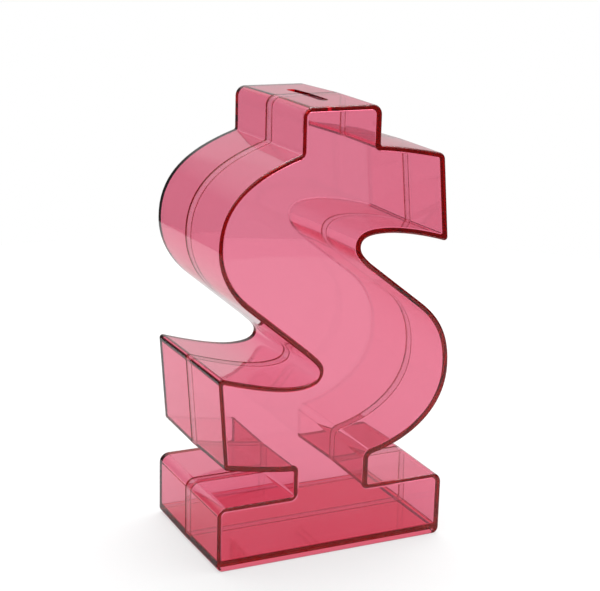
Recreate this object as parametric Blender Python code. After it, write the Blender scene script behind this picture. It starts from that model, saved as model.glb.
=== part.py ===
"""Money bank shaped like a dollar sign, standing on a flat base.

Two translucent moulded half shells meet on an upright parting line near the middle of the depth.
The rear shell's thin tongue slides into a step inside the front shell's rim, and the halves are
pulled apart along Y to empty the bank. Coins drop in through a slot in the top of the upright bar.

+X is to the right, +Y to the back and +Z up, in metres. The origin is on the ground under the
middle of the object.
"""
import math

import bmesh
import bpy
from mathutils import Matrix, Vector

MM = 0.001

# Overall sizes, taken at the parting line where the shells are widest.
HEIGHT = 200.0 * MM
DEPTH = 71.2 * MM
BASE_WIDTH = 111.2 * MM
BASE_HEIGHT = 30.0 * MM
LETTER_WIDTH = 112.6 * MM
LOWER_NECK = 11.4 * MM          # upright bar showing between the base and the letter
UPPER_NECK = 17.9 * MM          # upright bar showing above the letter
BAR_WIDTH = 37.3 * MM
BAR_OFFSET = -1.1 * MM          # the bar stands slightly left of the middle

# Moulding.
WALL = 2.1 * MM
PANEL = 2.1 * MM                # front and back faces
DRAFT = 0.45 * MM               # each face is this much smaller than the parting line, all round
EDGE_ROUND = 0.9 * MM           # round on the outer edge of the front and back faces
INNER_ROUND = 0.6 * MM          # round inside, where a wall meets a face
LEAST_ROUND = 0.3 * MM

# Joint between the shells.
PARTING = 0.9 * MM              # the parting line lies this far behind the middle of the depth
RIM_GAP = 0.3 * MM
LAP = 5.0 * MM                  # how far the tongue reaches into the front shell
LIP = 1.0 * MM                  # wall left outside the step in the front shell's rim
LAP_CLEARANCE = 0.3 * MM

# Floor, raised inside a skirt.
SKIRT = 1.9 * MM
FLOOR = 2.6 * MM
RECESS_CORNER = 1.2 * MM

# Coin slot.
SLOT_LENGTH = 35.0 * MM
SLOT_WIDTH = 4.6 * MM
SLOT_CENTRE = (-1.8 * MM, -1.9 * MM)
SLOT_END_RADIUS = SLOT_WIDTH * 0.495    # a hair under half the width, so that the sides stay flat

# Corner radii of the outline.
BASE_CORNER = 4.4 * MM
FOOT_CORNER = 3.0 * MM
BAR_CORNER = 4.4 * MM
UPPER_TIP = 3.2 * MM
SHARP_TIP = 1.6 * MM
INSIDE_CORNER = 1.0 * MM
BOWL_CORNER = 2.4 * MM

# Clear tinted styrene.
TINT = (0.80, 0.16, 0.27)
ROUGHNESS = 0.05
REFRACTIVE_INDEX = 1.57

FACE_HEIGHT = HEIGHT - DRAFT
FACE_BASE_TOP = BASE_HEIGHT - DRAFT
FACE_BASE_HALF = BASE_WIDTH / 2 - DRAFT
BAR_LEFT = BAR_OFFSET - BAR_WIDTH / 2 + DRAFT
BAR_RIGHT = BAR_OFFSET + BAR_WIDTH / 2 - DRAFT
LETTER_HALF_WIDTH = LETTER_WIDTH / 2 - DRAFT
LETTER_BOTTOM = BASE_HEIGHT + LOWER_NECK
LETTER_TOP = HEIGHT - UPPER_NECK
LETTER_MIDDLE = (LETTER_BOTTOM + LETTER_TOP) / 2
LETTER_HALF_HEIGHT = (LETTER_TOP - LETTER_BOTTOM) / 2
FLOOR_TOP = SKIRT + FLOOR


def grid(across, up):
    """A point of the letter, drawn on a grid from -100 to 100 both ways."""
    return (across / 100 * LETTER_HALF_WIDTH, LETTER_MIDDLE + up / 100 * LETTER_HALF_HEIGHT)


def bezier(start, handle_a, handle_b, end, steps):
    """Points inside a cubic curve, without its two ends."""
    points = []
    for step in range(1, steps):
        t = step / steps
        s = 1 - t
        weights = (s ** 3, 3 * s * s * t, 3 * s * t * t, t ** 3)
        x, z = (sum(w * p[axis] for w, p in zip(weights, (start, handle_a, handle_b, end)))
                for axis in (0, 1))
        points.append((x, z))
    return points


def face_path():
    """The outline of the front face, counterclockwise: (x, z, corner radius, steps in the corner).

    A radius of None marks a point on a smooth stretch.
    """
    path = []

    def corner(point, radius, steps=5):
        path.append((point[0], point[1], radius, steps))

    def smooth(points):
        path.extend((x, z, None, 0) for x, z in points)

    def curve(start, handle_a, handle_b, end, steps, last=True):
        smooth(bezier(start, handle_a, handle_b, end, steps))
        if last:
            smooth([end])

    # Base and the right side of the lower neck.
    corner((-FACE_BASE_HALF, 0.0), FOOT_CORNER)
    corner((FACE_BASE_HALF, 0.0), FOOT_CORNER)
    corner((FACE_BASE_HALF, FACE_BASE_TOP), BASE_CORNER)
    corner((BAR_RIGHT, FACE_BASE_TOP), INSIDE_CORNER, 3)

    # Lower bowl, the diagonal's right edge and the upper notch.
    bowl_start = (BAR_RIGHT, grid(0, -96.8)[1])
    corner(bowl_start, BOWL_CORNER, 4)
    curve(bowl_start, grid(66.5, -91), grid(99.5, -73.5), grid(99.5, -43), 11)
    curve(grid(99.5, -43), grid(99.5, -25), grid(92, -12.5), grid(73.5, -1), 7)
    smooth([grid(26, 28)])
    curve(grid(26, 28), grid(20, 32.5), grid(17, 35), grid(17, 38.5), 4)
    curve(grid(17, 38.5), grid(17, 44.5), grid(24.5, 46), grid(37.5, 46), 6)
    curve(grid(37.5, 46), grid(54.5, 46), grid(78, 41.5), grid(93.7, 37.5), 6, last=False)

    # Upper arm.
    corner(grid(93.7, 37.5), SHARP_TIP)
    corner(grid(87, 93), UPPER_TIP)
    curve(grid(87, 93), grid(70, 96), grid(48, 99), (BAR_RIGHT, LETTER_TOP), 4, last=False)

    # Top of the upright bar.
    corner((BAR_RIGHT, LETTER_TOP), INSIDE_CORNER, 3)
    corner((BAR_RIGHT, FACE_HEIGHT), BAR_CORNER)
    corner((BAR_LEFT, FACE_HEIGHT), BAR_CORNER)

    # Upper bowl, the diagonal's left edge and the lower notch.
    bowl_start = (BAR_LEFT, grid(0, 97.4)[1])
    corner(bowl_start, INSIDE_CORNER, 3)
    curve(bowl_start, grid(-68.5, 88), grid(-100, 75), grid(-100, 43.5), 9)
    curve(grid(-100, 43.5), grid(-100, 29), grid(-91, 15.5), grid(-75, 5), 7)
    smooth([grid(-27.5, -26)])
    curve(grid(-27.5, -26), grid(-22, -30), grid(-15, -34), grid(-15, -37.5), 4)
    curve(grid(-15, -37.5), grid(-15, -43), grid(-22, -45), grid(-35.5, -45), 6)
    curve(grid(-35.5, -45), grid(-52, -45), grid(-80, -38.5), grid(-99.3, -33.7), 6, last=False)

    # Lower arm and the left side of the lower neck.
    corner(grid(-99.3, -33.7), SHARP_TIP)
    corner(grid(-93.4, -92.7), SHARP_TIP)
    curve(grid(-93.4, -92.7), grid(-75, -95.5), grid(-53, -99), (BAR_LEFT, LETTER_BOTTOM), 4, last=False)
    corner((BAR_LEFT, LETTER_BOTTOM), INSIDE_CORNER, 3)
    corner((BAR_LEFT, FACE_BASE_TOP), INSIDE_CORNER, 3)
    corner((-FACE_BASE_HALF, FACE_BASE_TOP), BASE_CORNER)
    return path


def shifted(path, grow, bottom):
    """The path moved outwards by grow along its normals, with its lowest edge kept at bottom."""
    points = [Vector(node[:2]) for node in path]
    moved = []
    for index, point in enumerate(points):
        before = (point - points[index - 1]).normalized()
        after = (points[(index + 1) % len(points)] - point).normalized()
        outward = Vector((before.y, -before.x)) + Vector((after.y, -after.x))
        moved.append(point + outward * (grow * 2 / outward.length_squared))
    for index in (0, 1):
        moved[index].y = bottom
    return moved


def outline(grow=0.0, bottom=0.0):
    """Points of the shell's outline at a given distance outside (or inside) the face outline."""
    path = face_path()
    points = shifted(path, grow, bottom)
    result = []
    for index, (point, node) in enumerate(zip(points, path)):
        radius, steps = node[2:]
        if radius is None:
            result.append(point)
            continue
        before = (point - points[index - 1]).normalized()
        after = (points[(index + 1) % len(points)] - point).normalized()
        turn = math.copysign(1.0, before.x * after.y - before.y * after.x)
        radius = max(LEAST_ROUND, radius + grow * turn)
        half_turn = math.acos(max(-1.0, min(1.0, before.dot(after)))) / 2
        start = point - before * radius * math.tan(half_turn)
        centre = start + Vector((-before.y, before.x)) * turn * radius
        for step in range(steps + 1):
            angle = turn * 2 * half_turn * step / steps
            arm = start - centre
            result.append(centre + Vector((arm.x * math.cos(angle) - arm.y * math.sin(angle),
                                           arm.x * math.sin(angle) + arm.y * math.cos(angle))))
    return result


def draft_at(y):
    """How far the walls have grown outside the face outline at a depth y."""
    reach = DEPTH / 2 + PARTING if y < PARTING else DEPTH / 2 - PARTING
    return DRAFT * (1 - abs(y - PARTING) / reach)


def outer_ring(y, cut=0.0):
    """A section of the outer surface at a depth y, cut back by the round on the face's edge."""
    return y, outline(draft_at(y) - cut, cut)


def inner_ring(y, depth_in_wall, cut=0.0):
    """A section inside the wall. The lowest edge follows the raised floor instead of the wall."""
    below_floor = WALL - depth_in_wall
    return y, outline(draft_at(y) - depth_in_wall - cut, FLOOR_TOP - below_floor + cut)


def rounding(radius, steps=3):
    """How far a quarter round has cut into the side and into the face, step by step."""
    angles = [math.pi / 2 * step / steps for step in range(steps + 1)]
    return [(radius * (1 - math.cos(angle)), radius * (1 - math.sin(angle))) for angle in angles]


def shell_mesh(name, rings, first_cap, second_cap):
    """A closed shell: the rings are joined in a loop, except where two faces close its panel."""
    mesh = bpy.data.meshes.new(name)
    bm = bmesh.new()
    loops = [[bm.verts.new((point.x, y, point.y)) for point in points] for y, points in rings]
    count = len(loops[0])
    for index, loop in enumerate(loops):
        if index == first_cap:
            bm.faces.new(loop)
            bm.faces.new(loops[second_cap][::-1])
            continue
        following = loops[(index + 1) % len(loops)]
        for side in range(count):
            ahead = (side + 1) % count
            bm.faces.new((loop[side], loop[ahead], following[ahead], following[side]))
    if bm.calc_volume(signed=True) < 0:
        bmesh.ops.reverse_faces(bm, faces=bm.faces)
    bm.to_mesh(mesh)
    bm.free()
    return mesh


def panel_rings(side):
    """From the outer surface round the edge of the face at side -1 (front) or 1 (back), then in."""
    face = side * DEPTH / 2
    outside = [outer_ring(face - side * from_face, cut)
               for cut, from_face in rounding(EDGE_ROUND)]
    inside = [inner_ring(face - side * (PANEL + from_face), WALL, cut)
              for cut, from_face in rounding(INNER_ROUND, 2)]
    return outside + inside[::-1], len(outside) - 1


def front_shell_mesh():
    """The front half, with a step inside its rim that takes the tongue."""
    rim = PARTING - RIM_GAP / 2
    step = PARTING - LAP - RIM_GAP
    panel, cap = panel_rings(-1)
    rings = [outer_ring(rim)] + panel
    rings += [inner_ring(step, WALL), inner_ring(step, LIP), inner_ring(rim, LIP)]
    return shell_mesh("front_shell", rings, cap + 1, cap + 2)


def rear_shell_mesh():
    """The rear half, with a thin tongue along the inside of its rim."""
    rim = PARTING + RIM_GAP / 2
    tip = PARTING - LAP
    tongue_outside = LIP + LAP_CLEARANCE
    panel, cap = panel_rings(1)
    rings = [outer_ring(rim)] + panel
    rings += [inner_ring(tip, WALL), inner_ring(tip, tongue_outside)]
    rings += [inner_ring(rim, tongue_outside)]
    return shell_mesh("rear_shell", rings, cap + 1, cap + 2)


def rounded_block(name, size, centre, corner, collection, steps=8):
    """A cutter: a block with rounded upright edges."""
    bpy.ops.mesh.primitive_cube_add(size=1, location=centre)
    block = bpy.context.object
    block.name = name
    block.scale = size
    bpy.ops.object.transform_apply(location=False, rotation=False, scale=True)
    bm = bmesh.new()
    bm.from_mesh(block.data)
    upright = [e for e in bm.edges if abs(e.verts[0].co.z - e.verts[1].co.z) > size[2] / 2]
    bmesh.ops.bevel(bm, geom=upright, offset=corner, segments=steps, profile=0.5, affect="EDGES")
    bm.to_mesh(block.data)
    bm.free()
    block.hide_render = True
    block.display_type = "WIRE"
    move_to(block, collection)
    return block


def move_to(obj, collection):
    for old in list(obj.users_collection):
        old.objects.unlink(obj)
    collection.objects.link(obj)


def tinted_styrene(name):
    material = bpy.data.materials.new(name)
    material.use_nodes = True
    shader = material.node_tree.nodes["Principled BSDF"]
    shader.inputs["Base Color"].default_value = (*TINT, 1.0)
    shader.inputs["Metallic"].default_value = 0.0
    shader.inputs["Roughness"].default_value = ROUGHNESS
    shader.inputs["IOR"].default_value = REFRACTIVE_INDEX
    shader.inputs["Transmission Weight"].default_value = 1.0
    return material


def new_collection(name):
    collection = bpy.data.collections.new(name)
    bpy.context.scene.collection.children.link(collection)
    return collection


def add_shell(mesh, origin, cutters, material, collection):
    """A shell whose own origin is at the given point, cut by live modifiers."""
    mesh.transform(Matrix.Translation(-origin))
    mesh.materials.append(material)
    shell = bpy.data.objects.new(mesh.name, mesh)
    shell.location = origin
    collection.objects.link(shell)
    for cutter in cutters:
        cut = shell.modifiers.new(cutter.name, "BOOLEAN")
        cut.operation = "DIFFERENCE"
        cut.solver = "EXACT"
        cut.object = cutter
    return shell


for leftover in list(bpy.data.objects):
    bpy.data.objects.remove(leftover, do_unlink=True)

bank = new_collection("dollar_sign_bank")
tools = new_collection("cutters")

recess = rounded_block(
    "floor_recess",
    (2 * (FACE_BASE_HALF - WALL), DEPTH - 2 * PANEL, 2 * SKIRT),
    (0.0, 0.0, 0.0), RECESS_CORNER, tools)
slot = rounded_block(
    "coin_slot",
    (SLOT_WIDTH, SLOT_LENGTH, 4 * WALL),
    (*SLOT_CENTRE, HEIGHT), SLOT_END_RADIUS, tools)

add_shell(front_shell_mesh(), Vector((0.0, 0.0, 0.0)), (recess, slot),
          tinted_styrene("front_shell"), bank)
add_shell(rear_shell_mesh(), Vector((0.0, PARTING, 0.0)), (recess, slot),
          tinted_styrene("rear_shell"), bank)
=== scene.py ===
import math

import bmesh
import bpy
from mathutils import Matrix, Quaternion, Vector


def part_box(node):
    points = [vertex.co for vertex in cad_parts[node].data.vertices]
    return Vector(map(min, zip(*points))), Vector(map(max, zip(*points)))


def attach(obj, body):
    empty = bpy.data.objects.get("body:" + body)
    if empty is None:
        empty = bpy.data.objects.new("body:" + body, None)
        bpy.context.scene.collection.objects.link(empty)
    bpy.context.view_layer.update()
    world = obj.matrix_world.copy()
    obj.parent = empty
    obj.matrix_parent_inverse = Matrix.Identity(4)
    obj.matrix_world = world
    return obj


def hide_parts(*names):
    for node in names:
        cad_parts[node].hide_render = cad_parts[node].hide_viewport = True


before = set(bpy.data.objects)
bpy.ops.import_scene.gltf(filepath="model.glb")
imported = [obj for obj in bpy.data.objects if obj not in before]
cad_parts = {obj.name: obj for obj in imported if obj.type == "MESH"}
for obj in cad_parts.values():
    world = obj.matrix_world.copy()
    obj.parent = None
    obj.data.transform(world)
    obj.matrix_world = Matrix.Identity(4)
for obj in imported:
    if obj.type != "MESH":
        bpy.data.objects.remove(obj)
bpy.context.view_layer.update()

bpy.ops.object.select_all(action="DESELECT")


# Front shell: the front half of the bank, one injection moulding in clear tinted styrene. Its walls
# carry a little draft from the parting line to the face, and a step inside its rim takes the
# tongue of the rear shell.
MM = 0.001
low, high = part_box("front_shell")
HEIGHT = high.z
HALF_DEPTH = -low.y
BASE_WIDTH = 111.2 * MM
BASE_HEIGHT = 30.0 * MM
BAR_WIDTH = 37.3 * MM
BAR_OFFSET = -1.1 * MM          # the bar stands slightly left of the middle
LOWER_NECK = 11.4 * MM          # bar showing between the base and the letter
UPPER_NECK = 17.9 * MM          # bar showing above the letter

WALL = 2.1 * MM
DRAFT = 0.45 * MM               # the face is this much smaller than the parting line, all round
EDGE_ROUND = 0.9 * MM
INNER_ROUND = 0.6 * MM
RIM_ROUND = 0.14 * MM
LEAST_RADIUS = 0.8 * MM         # of a corner inside a wall
PARTING = 0.9 * MM              # the parting line lies this far behind the middle of the depth
RIM_GAP = 0.3 * MM
LAP = 5.0 * MM                  # how far the tongue reaches into the front shell
LIP = 1.0 * MM                  # wall left outside the step
LAP_CLEARANCE = 0.3 * MM
TONGUE_ROOT = 3.0 * MM          # how deep the tongue is sunk into the rear shell that carries it

SKIRT = 1.9 * MM
FLOOR_TOP = 4.5 * MM
RECESS_CORNER = 1.2 * MM
SLOT_LENGTH = 35.0 * MM
SLOT_WIDTH = 4.6 * MM
SLOT_END_RADIUS = 2.27 * MM
SLOT_CENTRE = (-1.8 * MM, -1.9 * MM)

CURVE_STEPS = 20
CORNER_STEPS = 8
EDGE_STEPS = 5
RIM_STEPS = 2
CUTTER_STEPS = 10
BEVEL_SCALE = 10 * MM           # a bevel weight of 1 stands for this width
STRAIGHT_END = 4.0 * MM         # a curve has no points this close to a rounded corner
OVERSHOOT = 1.0 * MM            # how far a cutting block runs past what it cuts
TOUCH = 0.01 * MM
LEAST_CORNER = math.radians(25)
SMOOTH_ANGLE = math.radians(35)

FACE_TOP = HEIGHT - DRAFT
BASE_TOP = BASE_HEIGHT - DRAFT
BASE_HALF = BASE_WIDTH / 2 - DRAFT
BAR_LEFT = BAR_OFFSET - BAR_WIDTH / 2 + DRAFT
BAR_RIGHT = BAR_OFFSET + BAR_WIDTH / 2 - DRAFT
LETTER_HALF = -low.x - DRAFT
LETTER_LOW = BASE_HEIGHT + LOWER_NECK
LETTER_HIGH = HEIGHT - UPPER_NECK
LETTER_MIDDLE = (LETTER_LOW + LETTER_HIGH) / 2
LETTER_RISE = (LETTER_HIGH - LETTER_LOW) / 2


def grid(across, up):
    """A point of the letter, drawn on a grid from -100 to 100 both ways."""
    return Vector((across / 100 * LETTER_HALF, LETTER_MIDDLE + up / 100 * LETTER_RISE))


def face_outline():
    """Anchors round the face, counterclockwise: point, handle before, handle after, radius in mm."""
    bowl_foot = Vector((BAR_RIGHT, grid(0, -96.8).y))
    bowl_head = Vector((BAR_LEFT, grid(0, 97.4).y))
    return [
        (Vector((-BASE_HALF, 0)), None, None, 3.0),
        (Vector((BASE_HALF, 0)), None, None, 3.0),
        (Vector((BASE_HALF, BASE_TOP)), None, None, 4.4),
        (Vector((BAR_RIGHT, BASE_TOP)), None, None, 1.0),
        (bowl_foot, None, grid(66.5, -91), 2.4),
        (grid(99.5, -43), grid(99.5, -73.5), grid(99.5, -25), 0),
        (grid(73.5, -1), grid(92, -12.5), None, 0),
        (grid(26, 28), None, grid(20, 32.5), 0),
        (grid(17, 38.5), grid(17, 35), grid(17, 44.5), 0),
        (grid(37.5, 46), grid(24.5, 46), grid(54.5, 46), 0),
        (grid(93.7, 37.5), grid(78, 41.5), None, 1.6),
        (grid(87, 93), None, grid(70, 96), 3.2),
        (Vector((BAR_RIGHT, LETTER_HIGH)), grid(48, 99), None, 1.0),
        (Vector((BAR_RIGHT, FACE_TOP)), None, None, 4.4),
        (Vector((BAR_LEFT, FACE_TOP)), None, None, 4.4),
        (bowl_head, None, grid(-68.5, 88), 1.0),
        (grid(-100, 43.5), grid(-100, 75), grid(-100, 29), 0),
        (grid(-75, 5), grid(-91, 15.5), None, 0),
        (grid(-27.5, -26), None, grid(-22, -30), 0),
        (grid(-15, -37.5), grid(-15, -34), grid(-15, -43), 0),
        (grid(-35.5, -45), grid(-22, -45), grid(-52, -45), 0),
        (grid(-99.3, -33.7), grid(-80, -38.5), None, 1.6),
        (grid(-93.4, -92.7), None, grid(-75, -95.5), 1.6),
        (Vector((BAR_LEFT, LETTER_LOW)), grid(-53, -99), None, 1.0),
        (Vector((BAR_LEFT, BASE_TOP)), None, None, 1.0),
        (Vector((-BASE_HALF, BASE_TOP)), None, None, 4.4),
    ]


def select_where(piece, test, kind="verts"):
    """Selects the mesh parts in edit mode that pass a test, and nothing else."""
    mode = {"verts": "VERT", "edges": "EDGE", "faces": "FACE"}[kind]
    bpy.ops.mesh.select_mode(type=mode)
    bpy.ops.mesh.select_all(action="DESELECT")
    bm = bmesh.from_edit_mesh(piece.data)
    for part in getattr(bm, kind):
        if test(part):
            part.select_set(True)
    bm.select_flush_mode()
    bmesh.update_edit_mesh(piece.data)


def at_depth(y):
    """A test for vertices that lie at depth y."""
    return lambda vert: abs(vert.co.y - y) < 0.1 * TOUCH


def lid_at(y):
    """A test for faces that lie flat at depth y."""
    return lambda side: all(at_depth(y)(vert) for vert in side.verts)


def outline_loop(name, y):
    """A closed wire of the face's outline, at depth y, in edit mode."""
    anchors = face_outline()
    data = bpy.data.curves.new(name, "CURVE")
    data.dimensions = "2D"
    data.fill_mode = "NONE"
    data.resolution_u = CURVE_STEPS
    spline = data.splines.new("BEZIER")
    spline.bezier_points.add(len(anchors) - 1)
    spline.use_cyclic_u = True
    for point, (place, before, after, _) in zip(spline.bezier_points, anchors):
        point.co = (*place, 0)
        for side, handle in (("left", before), ("right", after)):
            setattr(point, f"handle_{side}_type", "FREE" if handle else "VECTOR")
            if handle:
                setattr(point, f"handle_{side}", (*handle, 0))
    wire = bpy.data.objects.new(name, data)
    bpy.context.collection.objects.link(wire)
    wire.rotation_euler.x = math.pi / 2
    wire.location.y = y
    bpy.ops.object.select_all(action="DESELECT")
    bpy.context.view_layer.objects.active = wire
    wire.select_set(True)
    bpy.ops.object.convert(target="MESH")
    bpy.ops.object.transform_apply(location=True, rotation=True, scale=True)
    bpy.ops.object.mode_set(mode="EDIT")
    bpy.ops.mesh.select_mode(type="VERT")
    bpy.ops.mesh.select_all(action="SELECT")
    bpy.ops.mesh.remove_doubles(threshold=TOUCH)
    piece = bpy.context.object
    corners = [place for place, _, _, radius in anchors if radius]

    def beside_corner(vert):
        distance = min((place - Vector((vert.co.x, vert.co.z))).length for place in corners)
        return TOUCH < distance < STRAIGHT_END

    select_where(piece, beside_corner)
    bpy.ops.mesh.dissolve_verts()
    return piece


def apply_modifier(piece, kind, **settings):
    """Adds a modifier to the piece and applies it at once."""
    bpy.context.view_layer.objects.active = piece
    modifier = piece.modifiers.new(kind.lower(), kind)
    for name, value in settings.items():
        setattr(modifier, name, value)
    bpy.ops.object.modifier_apply(modifier=modifier.name)


def round_corners(piece, inset):
    """Rounds the block's corners along its depth, each with its own radius."""
    corners = [(place, radius * MM) for place, _, _, radius in face_outline() if radius]
    bm = bmesh.new()
    bm.from_mesh(piece.data)
    weight = bm.edges.layers.float.new("bevel_weight_edge")
    for edge in bm.edges:
        along = edge.verts[1].co - edge.verts[0].co
        turn = edge.calc_face_angle()
        if abs(along.y) < 0.9 * along.length or turn < LEAST_CORNER:
            continue
        middle = (edge.verts[0].co + edge.verts[1].co) / 2
        _, radius = min(
            corners, key=lambda corner: (corner[0] - Vector((middle.x, middle.z))).length)
        if not edge.is_convex:
            radius += inset
        elif inset:
            radius = max(LEAST_RADIUS, radius - inset)
        edge[weight] = radius * math.tan(turn / 2) / BEVEL_SCALE
    bm.to_mesh(piece.data)
    bm.free()
    apply_modifier(piece, "BEVEL", limit_method="WEIGHT", width=BEVEL_SCALE,
                   segments=CORNER_STEPS, use_clamp_overlap=False, loop_slide=False)


def round_lid(piece, y, radius, steps):
    """Carries the block on past depth y in a quarter round, up to a flat lid."""
    select_where(piece, lid_at(y), "faces")
    angles = [math.pi / 2 * step / steps for step in range(steps + 1)]
    for before, angle in zip(angles, angles[1:]):
        bpy.ops.mesh.inset(
            thickness=radius * (math.cos(before) - math.cos(angle)),
            depth=radius * (math.sin(angle) - math.sin(before)), use_even_offset=True)


def letter_block(name, face, mouth, inset=0.0, face_round=0.0, mouth_round=0.0):
    """A solid with the bank's outline, from its lid at the face to a larger lid at the mouth."""
    side = 1 if face > mouth else -1
    start = face - side * face_round
    end = mouth + side * mouth_round
    piece = outline_loop(name, start)
    bpy.ops.mesh.select_all(action="SELECT")
    if inset:
        bpy.ops.mesh.edge_face_add()
        bpy.ops.mesh.inset(thickness=inset, use_even_offset=True)
        bpy.ops.mesh.select_all(action="INVERT")
        bpy.ops.mesh.delete(type="VERT")
        bpy.ops.mesh.select_all(action="SELECT")
        bpy.ops.mesh.delete(type="ONLY_FACE")
    bpy.ops.mesh.select_all(action="SELECT")
    bpy.ops.mesh.extrude_edges_move(TRANSFORM_OT_translate={"value": (0, end - start, 0)})
    bpy.ops.mesh.select_all(action="SELECT")
    bpy.ops.mesh.normals_make_consistent(inside=False)
    select_where(piece, at_depth(end))
    bpy.ops.transform.shrink_fatten(value=DRAFT, use_even_offset=True)
    bpy.ops.mesh.edge_face_add()
    select_where(piece, at_depth(start))
    bpy.ops.mesh.edge_face_add()
    # The foot is levelled again: an outer block stands on the ground, and an inner one ends at the
    # raised floor, or as far below its top as the block lies inside the wall.
    foot = FLOOR_TOP - WALL + inset if inset else 0.0
    bm = bmesh.from_edit_mesh(piece.data)
    for vert in bm.verts:
        if vert.co.z < WALL + 10 * TOUCH:
            vert.co.z = foot
    bmesh.update_edit_mesh(piece.data)
    bpy.ops.mesh.select_all(action="SELECT")
    bpy.ops.mesh.normals_make_consistent(inside=False)
    bpy.ops.object.mode_set(mode="OBJECT")
    round_corners(piece, inset)
    bpy.ops.object.mode_set(mode="EDIT")
    if face_round:
        round_lid(piece, start, face_round, EDGE_STEPS)
    if mouth_round:
        round_lid(piece, end, mouth_round, RIM_STEPS)
    bpy.ops.object.mode_set(mode="OBJECT")
    return piece


def combine(piece, other, operation):
    """Joins the other block to the piece, or cuts it away."""
    apply_modifier(piece, "BOOLEAN", operation=operation, object=other, solver="EXACT")
    bpy.data.objects.remove(other)


def rounded_cutter(name, size, centre, radius):
    """A block with rounded upright edges, for cutting."""
    bpy.ops.object.select_all(action="DESELECT")
    bpy.ops.mesh.primitive_cube_add(size=1, location=centre, scale=size)
    bpy.ops.object.transform_apply(location=True, rotation=True, scale=True)
    cutter = bpy.context.object
    cutter.name = name
    bpy.ops.object.mode_set(mode="EDIT")
    select_where(cutter, lambda edge: abs(edge.verts[0].co.z - edge.verts[1].co.z) > size[2] / 2,
                 "edges")
    bpy.ops.mesh.bevel(offset=radius, segments=CUTTER_STEPS, affect="EDGES")
    bpy.ops.object.mode_set(mode="OBJECT")
    return cutter


def cut_base_and_slot(piece):
    """Hollows the underside inside its skirt, and cuts the coin slot through the bar's top."""
    recess = rounded_cutter(
        "recess", (2 * (BASE_HALF - WALL), 2 * (HALF_DEPTH - WALL), 2 * SKIRT),
        (0, 0, 0), RECESS_CORNER)
    combine(piece, recess, "DIFFERENCE")
    slot = rounded_cutter(
        "slot", (SLOT_WIDTH, SLOT_LENGTH, 4 * WALL), (*SLOT_CENTRE, HEIGHT), SLOT_END_RADIUS)
    combine(piece, slot, "DIFFERENCE")


def smooth_shell(piece):
    """Shades the walls smooth and keeps the shell's real edges sharp."""
    bpy.ops.object.select_all(action="DESELECT")
    piece.select_set(True)
    bpy.context.view_layer.objects.active = piece
    bpy.ops.object.shade_smooth_by_angle(angle=SMOOTH_ANGLE)
    apply_modifier(piece, "WEIGHTED_NORMAL", keep_sharp=True)


front_rim = PARTING - RIM_GAP / 2
front = letter_block("front_half", -HALF_DEPTH, front_rim, 0.0, EDGE_ROUND, RIM_ROUND)
rebate = letter_block("rebate", front_rim - LAP - LAP_CLEARANCE, front_rim + OVERSHOOT, LIP)
combine(front, rebate, "DIFFERENCE")
core = letter_block("core", -HALF_DEPTH + WALL, front_rim + OVERSHOOT, WALL, INNER_ROUND)
combine(front, core, "DIFFERENCE")
cut_base_and_slot(front)
smooth_shell(front)

CLEAR = (0.90, 0.91, 0.91, 1.0)
STYRENE_IOR = 1.57
DYE = (23.0, 322.0, 233.0)      # lost per metre of wall, in red, green and blue
DYE_DENSITY = 500.0
WAVE_SIZE = 30.0
HAZE_SIZE = 90.0
POLISHED = 0.01
HAZED = 0.05
WAVE_STRENGTH = 0.25
WAVE_HEIGHT = 0.3 * MM


def moulding_marks():
    """What moulding and handling leave on the plastic: slow waves in its surface, and faint haze."""
    group = bpy.data.node_groups.new("moulding_marks", "ShaderNodeTree")
    sockets = group.interface
    for name, value in (("Wave Size", WAVE_SIZE), ("Haze Size", HAZE_SIZE),
                        ("Least Roughness", POLISHED), ("Most Roughness", HAZED)):
        sockets.new_socket(name, in_out="INPUT", socket_type="NodeSocketFloat").default_value = value
    for name in ("Height", "Roughness"):
        sockets.new_socket(name, in_out="OUTPUT", socket_type="NodeSocketFloat")
    nodes, links = group.nodes, group.links
    given = nodes.new("NodeGroupInput")
    result = nodes.new("NodeGroupOutput")
    place = nodes.new("ShaderNodeTexCoord")
    waves = nodes.new("ShaderNodeTexNoise")
    waves.inputs["Detail"].default_value = 1.0
    links.new(place.outputs["Object"], waves.inputs["Vector"])
    links.new(given.outputs["Wave Size"], waves.inputs["Scale"])
    links.new(waves.outputs["Fac"], result.inputs["Height"])
    haze = nodes.new("ShaderNodeTexNoise")
    haze.inputs["Detail"].default_value = 6.0
    haze.inputs["Roughness"].default_value = 0.65
    links.new(place.outputs["Object"], haze.inputs["Vector"])
    links.new(given.outputs["Haze Size"], haze.inputs["Scale"])
    spread = nodes.new("ShaderNodeMapRange")
    spread.inputs["From Min"].default_value = 0.4
    spread.inputs["From Max"].default_value = 0.7
    links.new(haze.outputs["Fac"], spread.inputs["Value"])
    links.new(given.outputs["Least Roughness"], spread.inputs["To Min"])
    links.new(given.outputs["Most Roughness"], spread.inputs["To Max"])
    links.new(spread.outputs["Result"], result.inputs["Roughness"])
    return group


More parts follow.
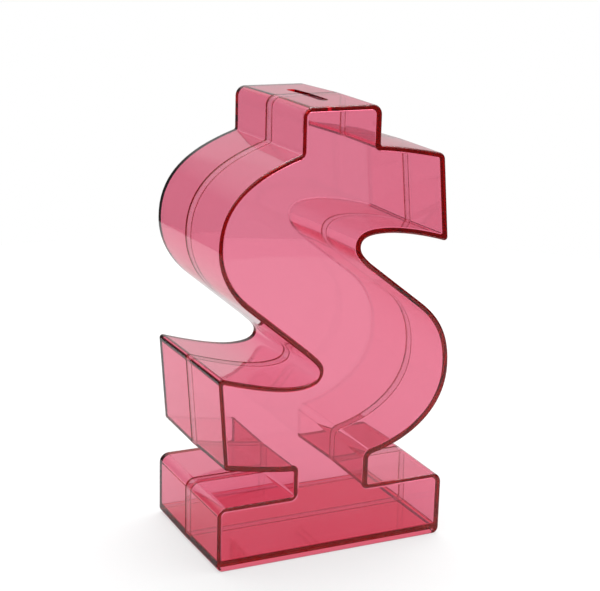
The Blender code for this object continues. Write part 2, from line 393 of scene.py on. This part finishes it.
def tinted_styrene(name, marks):
    """Clear styrene, dyed right through: green and blue are lost in a wall, and hardly any red."""
    material = bpy.data.materials.new(name)
    material.use_nodes = True
    nodes, links = material.node_tree.nodes, material.node_tree.links
    shader = nodes["Principled BSDF"]
    shader.inputs["Base Color"].default_value = CLEAR
    shader.inputs["IOR"].default_value = STYRENE_IOR
    shader.inputs["Transmission Weight"].default_value = 1.0
    surface = nodes.new("ShaderNodeGroup")
    surface.node_tree = marks
    links.new(surface.outputs["Roughness"], shader.inputs["Roughness"])
    bump = nodes.new("ShaderNodeBump")
    bump.inputs["Strength"].default_value = WAVE_STRENGTH
    bump.inputs["Distance"].default_value = WAVE_HEIGHT
    links.new(surface.outputs["Height"], bump.inputs["Height"])
    links.new(bump.outputs["Normal"], shader.inputs["Normal"])
    tint = nodes.new("ShaderNodeVolumeAbsorption")
    tint.inputs["Color"].default_value = (*(1 - loss / DYE_DENSITY for loss in DYE), 1.0)
    tint.inputs["Density"].default_value = DYE_DENSITY
    links.new(tint.outputs["Volume"], nodes["Material Output"].inputs["Volume"])
    return material


marks = moulding_marks()
front.data.materials.clear()
front.data.materials.append(tinted_styrene("front_styrene", marks))
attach(front, "front")
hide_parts("front_shell")


# Rear shell: the rear half, moulded in the same styrene. A thin tongue along its rim pushes into
# the front shell's step, and the two are held by nothing else.
rear_rim = PARTING + RIM_GAP / 2
rear = letter_block("rear_half", HALF_DEPTH, rear_rim, 0.0, EDGE_ROUND, RIM_ROUND)
tongue = letter_block("tongue", rear_rim + TONGUE_ROOT, rear_rim - LAP, LIP + LAP_CLEARANCE, 0.0,
                      RIM_ROUND)
combine(rear, tongue, "UNION")
core = letter_block("core", HALF_DEPTH - WALL, rear_rim - LAP - OVERSHOOT, WALL, INNER_ROUND)
combine(rear, core, "DIFFERENCE")
cut_base_and_slot(rear)
smooth_shell(rear)
rear.data.materials.clear()
rear.data.materials.append(tinted_styrene("rear_styrene", marks))
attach(rear, "rear")
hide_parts("rear_shell")


# Table: a round white sheet that fades into the white room and keeps the bank's shadow. Seen
# through the plastic it carries painted light: a painted white glow, and a painted pink glow where
# the base stands, in place of light led through the dyed walls; the pink stays where the base rests.
# In the plastic's mirror image it is painted darker.
TABLE_RADIUS = 0.58
TABLE_WHITE = (0.95, 0.95, 0.95, 1.0)
PURE_WHITE = (1.0, 1.0, 1.0, 1.0)
BLACK = (0.0, 0.0, 0.0, 1.0)
# Painted pink glow on the table under the base, standing in for light led through the dyed plastic.
PAINTED_PINK_GLOW = (1.0, 0.30, 0.38, 1.0)
SEEN_WHITE = 0.6                # share of plain white where the table is seen directly
# Seen through the plastic, the table gets a painted white glow by this share, and a painted pink
# glow under the base by the share added below.
PAINTED_GLOW_THROUGH = 0.55            # and where it is seen through the plastic
PAINTED_GLOW_UNDER_BASE = 0.25               # added to that under the base
MIRROR_DARK = 0.45              # share of black in the table's mirror image


def glow_on(tree, surface, colour, share):
    """Mixes a glow into a surface by the given share."""
    glow = tree.nodes.new("ShaderNodeEmission")
    tree.links.new(colour, glow.inputs["Color"])
    mix = tree.nodes.new("ShaderNodeMixShader")
    tree.links.new(share, mix.inputs["Fac"])
    tree.links.new(surface, mix.inputs[1])
    tree.links.new(glow.outputs["Emission"], mix.inputs[2])
    return mix.outputs["Shader"]


def math_node(tree, operation, *values):
    """A Math node on numbers or sockets."""
    node = tree.nodes.new("ShaderNodeMath")
    node.operation = operation
    for socket, value in zip(node.inputs, values):
        if isinstance(value, (int, float)):
            socket.default_value = value
        else:
            tree.links.new(value, socket)
    return node.outputs["Value"]


def plain_colour(tree, colour):
    """One colour, as a socket."""
    node = tree.nodes.new("ShaderNodeRGB")
    node.outputs["Color"].default_value = colour
    return node.outputs["Color"]


bpy.ops.object.select_all(action="DESELECT")
bpy.ops.mesh.primitive_circle_add(vertices=128, radius=TABLE_RADIUS, fill_type="NGON",
                                  location=(0, 0, 0))
floor = bpy.context.object
floor.name = "floor"
ground = bpy.data.materials.new("pale_floor")
ground.use_nodes = True
tree = ground.node_tree
sheet = tree.nodes["Principled BSDF"]
sheet.inputs["Base Color"].default_value = TABLE_WHITE
sheet.inputs["Roughness"].default_value = 0.6
sheet.inputs["Specular IOR Level"].default_value = 0.0
rays = tree.nodes.new("ShaderNodeLightPath").outputs
place = tree.nodes.new("ShaderNodeTexCoord")
axes = tree.nodes.new("ShaderNodeSeparateXYZ")
tree.links.new(place.outputs["Object"], axes.inputs["Vector"])
beside = math_node(tree, "LESS_THAN", math_node(tree, "ABSOLUTE", axes.outputs["X"]), BASE_HALF)
within = math_node(tree, "LESS_THAN", math_node(tree, "ABSOLUTE", axes.outputs["Y"]), HALF_DEPTH)
under = math_node(tree, "MULTIPLY", beside, within)
# Colour of the painted glow: white, and painted pink under the base.
dyed = tree.nodes.new("ShaderNodeMix")
dyed.data_type = "RGBA"
dyed.inputs["A"].default_value = PURE_WHITE
dyed.inputs["B"].default_value = PAINTED_PINK_GLOW
tree.links.new(under, dyed.inputs["Factor"])
# Share of painted glow, for rays through the plastic only.
through = math_node(tree, "MULTIPLY", rays["Is Transmission Ray"],
                    math_node(tree, "MULTIPLY_ADD", under, PAINTED_GLOW_UNDER_BASE, PAINTED_GLOW_THROUGH))
mirrored = math_node(tree, "MULTIPLY", rays["Is Glossy Ray"],
                     math_node(tree, "SUBTRACT", 1.0, rays["Is Transmission Ray"]))
seen = glow_on(tree, sheet.outputs["BSDF"], dyed.outputs["Result"], through)
seen = glow_on(tree, seen, plain_colour(tree, BLACK),
               math_node(tree, "MULTIPLY", mirrored, MIRROR_DARK))
seen = glow_on(tree, seen, plain_colour(tree, PURE_WHITE),
               math_node(tree, "MULTIPLY", rays["Is Camera Ray"], SEEN_WHITE))
tree.links.new(seen, tree.nodes["Material Output"].inputs["Surface"])
floor.data.materials.append(ground)


# Room: dim walls with a light ceiling and a bright backdrop behind the bank. Looked at directly or
# through the plastic, all of it is white.
ROOM_DARK = 0.10
CEILING_STARTS = 0.30           # sine of the height at which the walls begin to brighten
CEILING_FULL = 0.62
BACKDROP_WAY = (0.44, 0.90)     # across and back, from the bank
BACKDROP_STARTS = 0.76
BACKDROP_FULL = 0.84
BACKDROP_LIGHT = 0.62
world = bpy.data.worlds.new("studio")
bpy.context.scene.world = world
world.use_nodes = True
tree = world.node_tree
background = tree.nodes["Background"]
place = tree.nodes.new("ShaderNodeTexCoord")
axes = tree.nodes.new("ShaderNodeSeparateXYZ")
tree.links.new(place.outputs["Generated"], axes.inputs["Vector"])
facing = math_node(tree, "MULTIPLY_ADD", axes.outputs["X"], BACKDROP_WAY[0],
                   math_node(tree, "MULTIPLY", axes.outputs["Y"], BACKDROP_WAY[1]))
above = tree.nodes.new("ShaderNodeMapRange")
above.inputs["From Min"].default_value = CEILING_STARTS
above.inputs["From Max"].default_value = CEILING_FULL
above.inputs["To Min"].default_value = ROOM_DARK
tree.links.new(axes.outputs["Z"], above.inputs["Value"])
behind = tree.nodes.new("ShaderNodeMapRange")
behind.inputs["From Min"].default_value = BACKDROP_STARTS
behind.inputs["From Max"].default_value = BACKDROP_FULL
behind.inputs["To Max"].default_value = BACKDROP_LIGHT
tree.links.new(facing, behind.inputs["Value"])
room = math_node(tree, "MAXIMUM", above.outputs["Result"], behind.outputs["Result"])
rays = tree.nodes.new("ShaderNodeLightPath").outputs
direct = math_node(tree, "MAXIMUM", rays["Is Camera Ray"], rays["Is Transmission Ray"])
tree.links.new(math_node(tree, "MAXIMUM", room, direct), background.inputs["Color"])


# Lamp and camera: one square softbox overhead, and a long lens from the front left, a little above.
SOFTBOX_SIDE = 0.9
SOFTBOX_WATTS = 9.5
SOFTBOX_PLACE = (0.2, 0.25, 1.15)
LIT_POINT = Vector((0, 0, 0.1))
LENS = 89.3
SENSOR = 36
AZIMUTH = math.radians(-26.066)
ELEVATION = math.radians(15.345)
ROLL = math.radians(1.529)
AIM = Vector((-0.019044, -0.0356, 0.120606))
DISTANCE = 0.623711
lamp_data = bpy.data.lights.new("softbox", "AREA")
lamp_data.shape = "RECTANGLE"
lamp_data.size = SOFTBOX_SIDE
lamp_data.size_y = SOFTBOX_SIDE
lamp_data.energy = SOFTBOX_WATTS
lamp = bpy.data.objects.new("softbox", lamp_data)
bpy.context.collection.objects.link(lamp)
lamp.location = SOFTBOX_PLACE
lamp.rotation_euler = (LIT_POINT - lamp.location).to_track_quat("-Z", "Y").to_euler()

camera_data = bpy.data.cameras.new("camera")
camera = bpy.data.objects.new("camera", camera_data)
bpy.context.collection.objects.link(camera)
bpy.context.scene.camera = camera
camera_data.lens = LENS
camera_data.sensor_width = SENSOR
back = Vector((math.sin(AZIMUTH) * math.cos(ELEVATION), -math.cos(AZIMUTH) * math.cos(ELEVATION),
               math.sin(ELEVATION)))
camera.location = AIM + back * DISTANCE
turned = (-back).to_track_quat("-Z", "Y") @ Quaternion((0, 0, 1), ROLL)
camera.rotation_euler = turned.to_euler()

# Light is led a long way along clear walls, so it needs more bounces than Blender gives it.
LIGHT_BOUNCES = 40
bpy.context.scene.view_settings.view_transform = "Standard"
bpy.context.scene.cycles.max_bounces = LIGHT_BOUNCES
bpy.context.scene.cycles.transmission_bounces = LIGHT_BOUNCES
bpy.context.scene.cycles.glossy_bounces = LIGHT_BOUNCES
